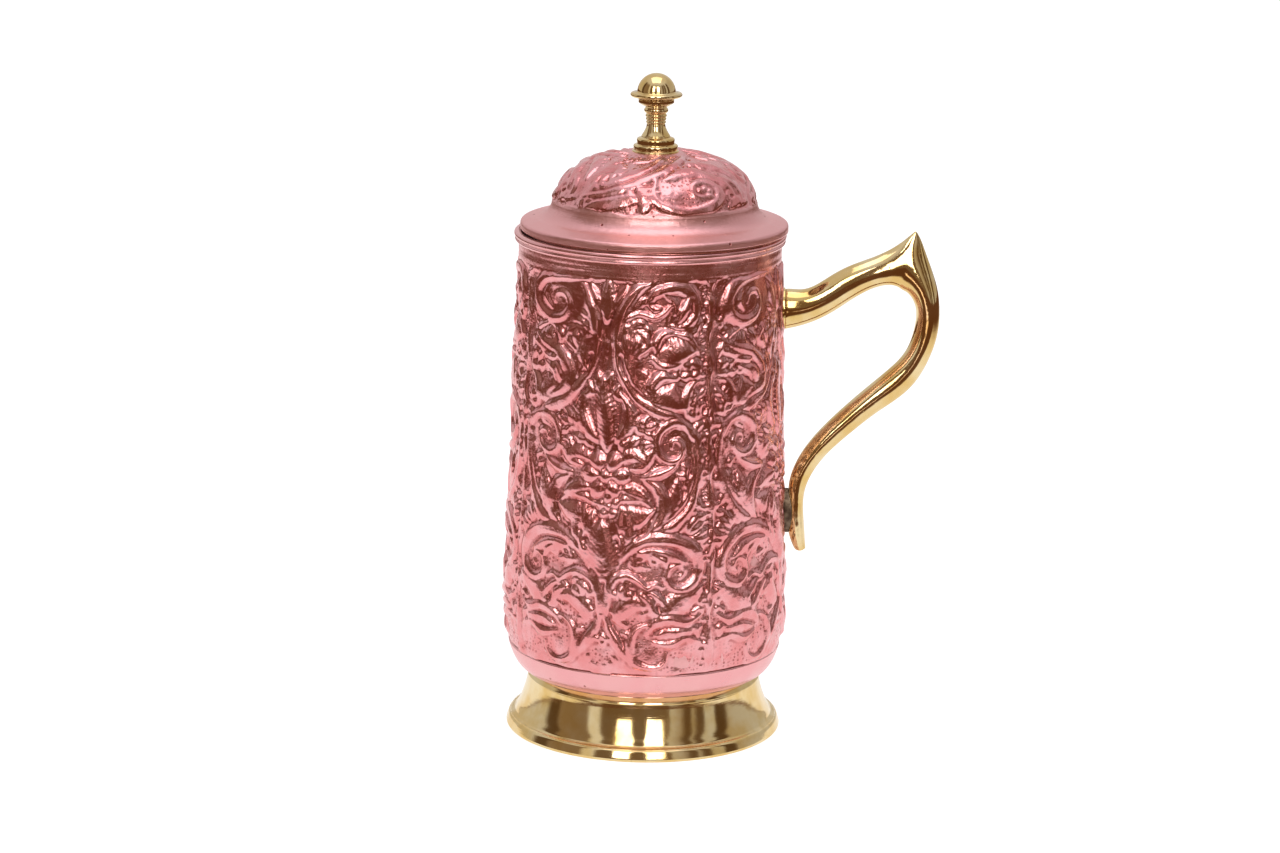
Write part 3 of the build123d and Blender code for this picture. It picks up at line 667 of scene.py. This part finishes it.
COPPER_PALE = (0.93, 0.54, 0.54, 1)
COPPER_BRIGHT = (0.93, 0.51, 0.52, 1)
COPPER_WARM = (0.88, 0.39, 0.39, 1)
COPPER_DEEP = (0.44, 0.12, 0.11, 1)
SOLDER_GOLD = (0.90, 0.55, 0.28, 1)
BRASS_BRIGHT = (0.90, 0.75, 0.47, 1)
BRASS_WARM = (0.82, 0.60, 0.26, 1)
BRASS_DEEP = (0.42, 0.25, 0.08, 1)
MIRRORED = (0.86, 0.76, 0.66, 1)    # metal as other metal shows it, in part
MIRRORED_SHARE = 0.6
ROOM_DARK = (0.19, 0.095, 0.05, 1)  # what the metal sees in front, beyond the table's end
TABLE_WHITE = (1.0, 0.98, 0.98, 1)
SHEET_OF_LIGHT = (1.7, 1.45, 1.4, 1)


def attribute(tree, name):
    """A value that the mesh carries at each of its points."""
    return add_node(tree, "Attribute", attribute_name=name).outputs["Fac"]


def embossed_copper(name, centre_x):
    """Chased copper: bright on its crests and darkened in the tooled lines, partly for the oxide in them and
    partly as painted shade, with punched dots on the ground.
    Its plain parts carry faint turning rings and pits, and its joint is gold with solder."""
    metal = Metal(name)
    tree = metal.tree
    crest, ground = attribute(tree, "crest"), attribute(tree, "ground")
    plain, solder = attribute(tree, "plain"), attribute(tree, "solder")
    punched = times(tree, metal.spots(1.5, 0.44, 0.20, 0.7), ground)
    metal.add_height(punched, -0.08)
    metal.add_height(metal.noise(2.4), 0.16)
    metal.add_height(metal.noise(0.7, 3.0), 0.03)
    rings = metal.rings(centre_x, 0.4)
    metal.add_height(times(tree, rings, plain), 0.05)
    pits = times(tree, metal.spots(6.5, 0.10, 0.05), plain)
    metal.add_height(pits, -0.2)
    tint = between(tree, metal.noise(9.0, 3.0), 0.35, 0.65)
    clean = blend_colours(tree, tint, COPPER_BRIGHT, COPPER_WARM)
    clean = blend_colours(tree, plain, clean, COPPER_PALE)
    # the tooled lines are darkened towards COPPER_DEEP: partly the oxide in them, partly painted shade in the
    # creases
    lines = times(tree, between(tree, crest, -0.12, -0.5), 0.6)
    colour = blend_colours(tree, lines, clean, COPPER_DEEP)
    dark = math_node(tree, "ADD", times(tree, punched, 0.65), pits, clamp=True)
    colour = blend_colours(tree, dark, colour, COPPER_DEEP)
    colour = blend_colours(tree, solder, colour, SOLDER_GOLD)
    smudges = metal.noise(5.0, 4.0)
    roughness = plus(tree, times(tree, smudges, 0.14), 0.13)
    roughness = plus(tree, roughness, times(tree, ground, 0.08))
    roughness = plus(tree, roughness, times(tree, plain, 0.18))
    return metal.finish(colour, roughness)


def spun_copper(name, centre_x=0.0):
    """Plain spun copper: faint turning rings, soft smudges and a few dark pits."""
    metal = Metal(name)
    tree = metal.tree
    rings = metal.rings(centre_x, 0.45)
    metal.add_height(rings, 0.012)
    metal.add_height(metal.noise(6.0), 0.09)
    metal.add_height(metal.noise(0.9, 3.0), 0.012)
    pits = metal.spots(9.0, 0.065, 0.03)
    metal.add_height(pits, -0.15)
    tint = between(tree, metal.noise(14.0, 3.0), 0.35, 0.65)
    colour = blend_colours(tree, tint, COPPER_PALE, COPPER_BRIGHT)
    colour = blend_colours(tree, times(tree, pits, 0.8), colour, COPPER_DEEP)
    smudges = metal.noise(7.0, 4.0)
    roughness = plus(tree, times(tree, smudges, 0.18), 0.12)
    roughness = plus(tree, roughness, times(tree, rings, 0.06))
    return metal.finish(colour, roughness)


def polished_brass(name, centre_x=None):
    """Polished brass, with turning rings when it has a centre, and small casting pits when not."""
    metal = Metal(name)
    tree = metal.tree
    if centre_x is None:
        metal.add_height(metal.noise(9.0), 0.16)
        pits = metal.spots(6.0, 0.05, 0.02)
        metal.add_height(pits, -0.12)
    else:
        rings = metal.rings(centre_x, 0.5)
        metal.add_height(rings, 0.014)
        pits = metal.spots(11.0, 0.03, 0.01)
    metal.add_height(metal.noise(1.2, 3.0), 0.008)
    tint = between(tree, metal.noise(12.0, 3.0), 0.3, 0.7)
    colour = blend_colours(tree, tint, BRASS_BRIGHT, BRASS_WARM)
    colour = blend_colours(tree, times(tree, pits, 0.8), colour, BRASS_DEEP)
    smudges = metal.noise(6.0, 4.0)
    roughness = plus(tree, times(tree, smudges, 0.12), 0.03)
    return metal.finish(colour, roughness)


def dull_metal(name, light, dark, rough):
    """Solder or steel that was never polished."""
    metal = Metal(name)
    tree = metal.tree
    grain = metal.noise(0.8, 4.0)
    metal.add_height(grain, 0.05)
    metal.add_height(metal.noise(3.0), 0.2)
    tint = between(tree, metal.noise(2.5, 4.0), 0.35, 0.65)
    colour = blend_colours(tree, tint, light, dark)
    roughness = plus(tree, times(tree, grain, 0.2), rough)
    return metal.finish(colour, roughness)


# ---- the copper wall ----
def warped(around, up, seed, period):
    """Coordinates moved a little, so that no two repeats of a hand-chased design are the same."""
    moved = []
    for value, first in ((around, seed), (up, seed + 2)):
        broad = cloud(around, up, 19, first, period)
        fine = cloud(around, up, 7, first + 1, period)
        moved.append(value + 0.9 * broad + 0.35 * fine)
    return moved


def in_panel(around, half_width):
    """How far a point is from the middle line of the repeat that it is in."""
    return (around + half_width) % (2 * half_width) - half_width


def make_wall(material):
    period = 2 * math.pi * PANEL_RADIUS
    columns = round(period / WALL_SPACING)
    height = np.arange(SEAM_HEIGHT, RIM_HEIGHT - 0.2, WALL_SPACING)[:, None]
    degrees = degrees_from_front(columns)[None, :]
    around = np.radians(degrees - FRONT_PANEL) * PANEL_RADIUS
    both = around + 0 * height, height + 0 * around
    s, t = warped(*both, 11, period)
    relief, crest, ground = sampled(wall_panel(), in_panel(s, PANEL_HALF), t)
    hammered = 0.4 * cloud(*both, 8.0, 21, period) + 0.08 * cloud(*both, 3.5, 22, period)
    top_edge = EMBOSSED_TOP + 0.7 * cloud(*both, 6, 23, period) + 0.4 * cloud(*both, 2, 24, period)
    above_seam = smooth_step(0.0, 4.5, height - SEAM_HEIGHT + 1.2 * cloud(*both, 7, 29, period))
    kept = smooth_step(0.6, -0.6, height - top_edge) * above_seam
    handle_side = np.radians(in_panel(degrees - 90, 180)) * PANEL_RADIUS
    for fitting_height, reach in FITTINGS:
        distance = np.hypot(handle_side, height - fitting_height)
        kept = kept * smooth_step(reach - 3, reach + 1.5, distance)
    broken = smooth_step(-0.1, 0.3, cloud(around + 0 * height, 0 * both[1], 7, 30, period))
    sink = SEAM_SINK[0] + SEAM_SINK[1] * broken
    relief = (relief + SHEET_LIFT + hammered) * kept - sink * (1 - above_seam)
    ground = ground * kept
    crest = crest * kept
    lines = smooth_step(0, 0.8, height - TURNED_LINES_LOW)
    relief += lines * TURNED_LINES * cloud(0.03 * both[0], both[1], 0.9, 25)
    # the upright joint, where one end of the sheet lies over the other
    from_joint = np.radians(degrees - WALL_JOINT) * PANEL_RADIUS
    joint = np.exp(-(((from_joint + 0.3 * cloud(*both, 4, 26, period)) / JOINT_WIDTH) ** 2))
    relief += JOINT_HEIGHT * joint
    # the lower edge is hammered down on to the cup, more in some places than in others
    edge_gap = 1.0 + 0.6 * cloud(*both, 5, 27, period)
    seam_line = smooth_step(edge_gap, 0, height - SEAM_HEIGHT) * broken
    relief -= SEAM_GAP * seam_line
    # lowering crest along the open seam darkens its colour there: painted shade in the gap
    crest -= seam_line
    outer = wall_radius(height) + relief
    inner_height = np.arange(RIM_HEIGHT, SEAM_HEIGHT, -3.0)[:, None]
    uneven = cloud(around + 0 * inner_height, inner_height + 0 * around, 9, 28, period)
    inner = wall_radius(inner_height) - SHEET + 0.12 * uneven
    radius = np.vstack([outer, inner])
    heights = np.vstack([height, inner_height])
    smooth_rows = np.zeros(inner.shape)
    values = {"crest": np.vstack([crest, smooth_rows]), "ground": np.vstack([ground, smooth_rows]),
              "plain": np.vstack([0.4 * lines + 0 * around, smooth_rows + 1]),
              "solder": np.vstack([joint * lines, smooth_rows])}
    points = turned_points(radius, heights)
    quads = ring_quads(len(radius), columns, True)
    return add_piece("wall", points, quads, "vessel", ["body_wall"], material, values)


# ---- other copper ----
def make_rim(material):
    outline = rounded([
        (53.0, 202.1, 0), (53.9, 202.1, 0.3), (54.65, 203.0, 0.5), (54.1, 203.9, 0.35),
        (54.85, 204.6, 0.5), (54.8, 205.9, 0.6), (53.6, 206.4, 0.3), (52.9, 206.4, 0.15),
        (52.9, 204.0, 0),
    ])
    outline = closed(outline, 1.0)
    return turned("rim", outline, 480, "vessel", "rim_band", material, wobble=0.07, seed=31)


def make_cup(material):
    heights = np.linspace(24.6, SEAM_HEIGHT, 26)
    corner = np.stack([wall_radius(heights), heights], 1)
    inside = offset_inwards(corner, SHEET)[::-1]
    floor_out = [(0, 24.5), (20, 24.5), (40, 24.5)]
    lap = [(54.3, 36.1), (55.3, 41), (54.7, 41), (53.9, 36.4)]
    floor_in = [(40, 25.4), (20, 25.4), (0, 25.4)]
    corner[-1, 0] -= EDGE_DRAW
    outline = np.vstack([floor_out, corner, lap, inside[1:], floor_in])
    outline = spaced(outline, 2.0)
    return turned("cup", outline, 480, "vessel", "bottom_cup", material, wobble=0.12, seed=41)


# ---- lid ----
def draw_dome(r):
    """One repeat of the dome's design: s runs round it, t up it from the cove."""
    stroke_ground(r, 15)
    r.frond([(-36, 2), (-27, 4), (-18, 4)], 5, 5.5, 1.3)
    r.frond([(-34, 14), (-26, 17), (-18, 22), (-12, 28)], 6, 7.0, 1.6, 60, 50)
    r.frond([(-16, 12), (-9, 11), (-2, 13)], 4, 5.5, 1.4)
    r.frond([(0, 20), (8, 23), (17, 25), (26, 25)], 6, 6.5, 1.6, 55, 50)
    r.frond([(24, 30), (30, 27), (36, 22)], 4, 6.0, 1.5)
    r.frond([(-36, 30), (-28, 33), (-18, 36)], 5, 5.5, 1.4)
    r.frond([(8, 33), (18, 37), (28, 38.5)], 4, 4.5, 1.2)
    r.frond([(23, 12), (27, 6), (26, 0)], 4, 5.0, 1.3)
    r.leaf([(-32, 2.5), (-24, 6), (-15, 8.5), (-6, 8)], 2.2, 4.5, 2.0)
    r.leaf([(-27, 12), (-17, 18), (-7, 26), (2, 34)], 5.5, 1.0, 2.0)
    r.leaf([(-2, 17), (7, 21), (17, 21), (25, 15), (29, 8)], 3.5, 3.5, 2.0)
    r.leaf([(14, 27), (22, 27), (31, 22), (36, 14)], 4.5, 2.0, 2.0)
    r.leaf([(24, 2), (29, 5), (36, 4)], 2.5, 2.5)
    r.leaf([(-12, 13), (-8, 6), (-9, 0)], 3.0, 3.0)
    r.petals((15, 9.5), 0.8, 4.2, 4, -60, 220)
    r.petals((-29, 22), 1.0, 8, 5, -30, 120)
    r.stem([(-36, 6), (-26, 9.5), (-15, 14.5), (-4, 22), (8, 29), (20, 34), (32, 37)],
           (0.5, 1.5, 2.1, 1.9, 1.4, 0.8))
    r.stem([(-5, 18), (-5.5, 10), (-1.5, 4.2), (6, 1.6), (14, 2.2), (20.5, 6.5), (21, 12.5), (16, 15.8),
            (10.8, 14), (10.2, 9.6), (13.5, 7.6)], (0.6, 1.3, 1.8, 2.0, 1.7, 1.4, 1.2, 0.8))
    r.stem([(24, 17), (30, 14), (33, 8), (31, 2.5)], (0.5, 1.3, 1.0, 0.4))
    r.stem([(-22, 30), (-10, 34), (0, 38)], (0.5, 1.4, 0.6))
    r.cuts((2, 6), (7, 12), 4, 120, 5)
    r.cuts((-20, 1.5), (-12, 1.5), 4, 80, 3)


def make_lid(material):
    edge = rounded([(53.9, 207.3, 0), (53.9, 210.2, 1.1), (47.6, 211.9, 0)])
    cove = arc((48.28, 218.88), 7.0, 259.5, 183.9, 14)
    dome = curve([DOME_START, (39.6, 223.2), (35.9, 228.9), (29.4, 233.5), (20.9, 236.6), (9.5, 238.5)], 12)
    flat = np.array([(6.0, 238.5), (2.2, 238.5)])
    path = spaced(np.vstack([edge, cove, dome[1:], flat]), WALL_SPACING)
    steps = np.hypot(*np.diff(path, axis=0).T)
    along = np.concatenate([[0], np.cumsum(steps)])
    dome_start = along[np.argmin(np.hypot(*(path - DOME_START).T))]
    columns = 820
    period = 2 * math.pi * DOME_RADIUS
    around = (np.radians(degrees_from_front(columns) - 8) * DOME_RADIUS)[None, :]
    up = (along - dome_start)[:, None]
    both = around + 0 * up, up + 0 * around
    design = Relief(DOME_PANEL_HALF, -1.5, DOME_ARC_HEIGHT)
    draw_dome(design)
    s, t = warped(*both, 51, period)
    relief, crest, ground = sampled(design, in_panel(s, DOME_PANEL_HALF), t)
    hammered = 0.25 * cloud(*both, 6, 61, period) + 0.15 * cloud(*both, 3, 62, period)
    low_edge = 1.2 + 0.6 * cloud(*both, 5, 63, period)
    radius = path[:, :1]
    kept = smooth_step(-0.5, 0.8, up - low_edge) * smooth_step(9.5, 13.0, radius)
    relief = (relief + hammered) * kept * DOME_RELIEF
    ground = ground * kept
    crest = crest * kept
    plain = 0.05 * cloud(*both, 9, 64, period) * smooth_step(2, 8, radius)
    slope = np.gradient(path, axis=0)
    slope /= np.hypot(*slope.T)[:, None]
    out_r, out_z = slope[:, 1:], -slope[:, :1]
    shift = relief + plain
    outer_r = radius + out_r * shift
    outer_z = path[:, 1:] + out_z * shift
    inner = offset_inwards(path, LID_SHEET)[::-1][::3]
    inner_r = inner[:, :1] + 0 * around
    inner_z = inner[:, 1:] + 0 * around
    zero = np.zeros(inner_r.shape)
    radius = np.vstack([outer_r, inner_r])
    heights = np.vstack([outer_z, inner_z])
    values = {"crest": np.vstack([crest, zero]), "ground": np.vstack([ground, zero]),
              "plain": np.vstack([1 - kept, zero + 1])}
    points = turned_points(radius, heights, LID_CENTRE)
    quads = ring_quads(len(radius), columns, True)
    return add_piece("lid", points, quads, "lid", ["lid_shell"], material, values)


# ---- brass ----
def make_foot(material):
    flange = rounded([(53.4, 0, 0.3), (56.0, 0, 0.4), (56.55, 0.9, 0.5), (55.35, 4.6, 0.8), (54.3, 4.9, 0.3),
                      (53.8, 5.15, 0.2)])
    ledge = curve([(53.5, 5.3), (52.9, 5.7), (52.4, 6.6)], 5)
    flare = curve([(52.25, 6.9), (51.0, 9.2), (49.9, 12.0), (48.8, 15.5), (48.0, 18.8), (47.6, 21.2)], 8)
    lip = rounded([(47.6, 21.4, 0.1), (48.0, 21.6, 0.2), (46.1, 24.4, 0.2), (40.9, 24.45, 0.3),
                   (40.9, 22.7, 0.3), (45.7, 22.7, 0)])
    inside = curve([(45.7, 22.6), (47.0, 17.5), (48.3, 12.8), (49.6, 8.8), (51.7, 4.6)], 6)
    outline = np.vstack([flange, ledge, flare, lip[:-1], inside])
    outline = closed(outline, 0.8)
    return turned("foot", outline, 512, "vessel", "brass_foot", material, wobble=0.05, seed=71)


def make_knob(material):
    foot = rounded([(0, 238.3, 0), (9.4, 238.3, 0.15), (9.4, 239.0, 0.2), (8.8, 239.2, 0.1),
                    (9.0, 241.3, 0.8), (7.5, 241.6, 0.15), (7.7, 243.9, 0.9), (5.8, 244.4, 0.2),
                    (5.8, 244.8, 0.1)])
    waist = curve([(5.7, 245.0), (4.7, 246.6), (3.9, 248.4), (3.7, 249.6)], 6)
    beads = [arc((3.3 + 0.15 * k, 250.4 + 1.3 * k), 0.68, -65, 65, 7) for k in range(3)]
    bulb = curve([(4.1, 253.9), (4.75, 254.7), (4.75, 255.6), (4.3, 256.4), (5.3, 257.0), (6.8, 257.9)], 5)
    collar = rounded([(7.1, 258.2, 0.15), (7.15, 259.4, 0.2), (6.8, 259.7, 0.1), (8.4, 260.4, 0.3)])
    ring = arc((9.5, 261.4), 0.9, -80, 90, 9)
    ball = arc((0, 262.3), 7.7, 1, 89.9, 26)
    outline = np.vstack([foot, waist, *beads, bulb, collar, ring, ball, [(0, 270.0)]])
    return turned("knob", outline, 160, "lid", "knob", material, LID_CENTRE, wobble=0.02, seed=81)


def make_remeshed(name, node, voxel, passes, body, material):
    """An even, softened mesh of a CAD node, so that its highlights run smoothly."""
    piece = bpy.data.objects.new(name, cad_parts[node].data.copy())
    bpy.context.scene.collection.objects.link(piece)
    remesh = piece.modifiers.new("even", "REMESH")
    remesh.mode = "VOXEL"
    remesh.voxel_size = voxel * MM
    remesh.use_smooth_shade = True
    soften = piece.modifiers.new("soften", "SMOOTH")
    soften.factor = 0.5
    soften.iterations = passes
    graph = bpy.context.evaluated_depsgraph_get()
    mesh = bpy.data.meshes.new_from_object(piece.evaluated_get(graph))
    piece.modifiers.clear()
    piece.data = mesh
    mesh.materials.clear()
    mesh.materials.append(material)
    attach(piece, body)
    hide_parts(node)
    return piece


def dress(node, material):
    """A CAD node that keeps its own mesh."""
    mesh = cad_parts[node].data
    mesh.materials.clear()
    mesh.materials.append(material)


def make_all():
    wall_copper = embossed_copper("wall_copper", 0.0)
    lid_copper = embossed_copper("lid_copper", LID_CENTRE)
    copper = spun_copper("copper")
    collar_copper = spun_copper("collar_copper", LID_CENTRE)
    foot_brass = polished_brass("turned_brass", 0.0)
    knob_brass = polished_brass("knob_brass", LID_CENTRE)
    cast_brass = polished_brass("cast_brass")
    solder = dull_metal("solder", (0.34, 0.27, 0.20, 1), (0.16, 0.11, 0.08, 1), 0.35)
    steel = dull_metal("steel", (0.55, 0.55, 0.56, 1), (0.38, 0.38, 0.39, 1), 0.28)
    make_wall(wall_copper)
    make_rim(copper)
    make_cup(copper)
    make_lid(lid_copper)
    make_foot(foot_brass)
    make_knob(knob_brass)
    make_remeshed("handle_casting", "handle", 0.4, 10, "vessel", cast_brass)
    make_remeshed("upper_collar", "handle_upper_collar", 0.2, 3, "vessel", cast_brass)
    make_remeshed("lower_pad", "handle_lower_pad", 0.25, 3, "vessel", solder)
    dress("lid_collar", collar_copper)
    for node in ("handle_screws", "handle_washers", "knob_screw", "knob_washer"):
        dress(node, steel)


# ---- studio ----
def make_world():
    """White to the camera. The metal sees a dark room in front with soft panels round it."""
    world = bpy.data.worlds.new("studio")
    bpy.context.scene.world = world
    world.use_nodes = True
    tree = world.node_tree
    tree.nodes.clear()
    direction = add_node(tree, "TexCoord").outputs["Generated"]
    x, y, z = add_node(tree, "SeparateXYZ", {0: direction}).outputs
    turn = math_node(tree, "ARCTAN2", x, times(tree, y, -1.0))
    share = plus(tree, math_node(tree, "DIVIDE", turn, 2 * math.pi), 0.5)
    ramp = add_node(tree, "ValToRGB", {0: share})
    # how bright the room is, by degrees from the front towards the handle
    stops = [(-180, 0.75), (-104, 0.66), (-98, 0.17), (-88, 0.17), (-84, 0.36), (-54, 0.32), (-51, 0.80),
             (-42, 0.80), (-39, 0.24), (24, 0.26), (26, 0.62), (36, 0.48), (42, 0.20), (47, 0.20), (49, 0.55),
             (54, 0.20), (60, 0.20), (62, 0.62), (72, 0.62), (74, 0.15), (84, 0.17), (88, 0.55), (130, 0.60),
             (180, 0.75)]
    elements = ramp.color_ramp.elements
    for k, (degrees, light) in enumerate(stops):
        place = degrees / 360 + 0.5
        element = elements[k] if k < 2 else elements.new(place)
        element.position = place
        pale = min(1.0, light / 0.6)
        element.color = (light, light * (0.54 + 0.44 * pale), light * (0.16 + 0.82 * pale), 1)
    overhead = between(tree, z, 0.62, 0.80)
    room = blend_colours(tree, overhead, ramp.outputs[0], (0.74, 0.73, 0.76, 1))
    seen = add_node(tree, "LightPath").outputs["Is Camera Ray"]
    colour = blend_colours(tree, seen, room, (1, 1, 1, 1))
    background = add_node(tree, "Background", {0: colour, 1: 1.0})
    add_node(tree, "OutputWorld", {0: background.outputs[0]})


def make_floor():
    """A pale floor. In the metal it ends a little way in front of the jug, as a table would."""
    mesh = bpy.data.meshes.new("floor")
    half = 12.0
    corners = [(-half, -half, 0), (half, -half, 0), (half, half, 0), (-half, half, 0)]
    mesh.from_pydata(corners, [], [(0, 1, 2, 3)])
    floor = bpy.data.objects.new("floor", mesh)
    bpy.context.scene.collection.objects.link(floor)
    material = bpy.data.materials.new("pale_floor")
    material.use_nodes = True
    tree = material.node_tree
    tree.nodes.clear()
    place = add_node(tree, "NewGeometry").outputs["Position"]
    x, y, _ = add_node(tree, "SeparateXYZ", {0: place}).outputs
    beside = math_node(tree, "ABSOLUTE", plus(tree, x, 0.06))
    # the white table top, and further off a sheet of light that shows in the jug's neck
    near = times(tree, between(tree, y, -0.31, -0.21), between(tree, beside, 0.90, 0.42))
    room = blend_colours(tree, near, ROOM_DARK, TABLE_WHITE)
    sheet = times(tree, between(tree, y, -0.66, -0.76), between(tree, y, -1.05, -0.92))
    sheet = times(tree, sheet, between(tree, beside, 0.26, 0.05))
    room = blend_colours(tree, sheet, room, SHEET_OF_LIGHT)
    reflected = add_node(tree, "Emission", {0: room})
    glow = add_node(tree, "Emission", {0: (0.82, 0.82, 0.83, 1)})
    matt = add_node(tree, "BsdfDiffuse", {0: (0.45, 0.45, 0.46, 1)})
    plain = add_node(tree, "AddShader", {0: glow.outputs[0], 1: matt.outputs[0]})
    seen = add_node(tree, "LightPath").outputs["Is Camera Ray"]
    either = add_node(tree, "MixShader", {0: seen, 1: reflected.outputs[0], 2: plain.outputs[0]})
    add_node(tree, "OutputMaterial", {0: either.outputs[0]})
    mesh.materials.append(material)


def add_light(name, degrees, elevation, distance, size, radiance):
    """A soft rectangular light that faces the jug. degrees run from the front towards the handle."""
    light = bpy.data.lights.new(name, "AREA")
    light.shape = "RECTANGLE"
    light.size, light.size_y = size
    light.energy = radiance * math.pi * size[0] * size[1]
    lamp = bpy.data.objects.new(name, light)
    bpy.context.scene.collection.objects.link(lamp)
    a, e = math.radians(degrees), math.radians(elevation)
    away = (math.sin(a) * math.cos(e), -math.cos(a) * math.cos(e), math.sin(e))
    lamp.location = [distance * part for part in away]
    lamp.location.z += 0.12
    lamp.rotation_euler = lamp.location.copy().to_track_quat("Z", "Y").to_euler()


def make_camera():
    camera = bpy.data.cameras.new("camera")
    camera.lens = 105
    camera.sensor_width = 36
    holder = bpy.data.objects.new("camera", camera)
    bpy.context.scene.collection.objects.link(holder)
    holder.location = (-0.003, -1.480, 0.475)
    pitch, roll = math.radians(90 - 13.3), math.radians(0.9)
    turn = Matrix.Rotation(pitch, 3, "X") @ Matrix.Rotation(roll, 3, "Z")
    holder.rotation_euler = turn.to_euler()
    bpy.context.scene.camera = holder


make_all()
make_world()
make_floor()
add_light("left_strip", -17.5, 27, 1.9, (0.46, 1.2), 3.2)
add_light("right_strip", 11.5, 27, 1.9, (0.50, 1.2), 3.2)
add_light("overhead", 0, 88, 1.6, (1.2, 1.2), 0.9)
make_camera()
bpy.context.scene.view_settings.view_transform = "Standard"
bpy.context.scene.view_settings.gamma = 0.8     # deeper, richer darks
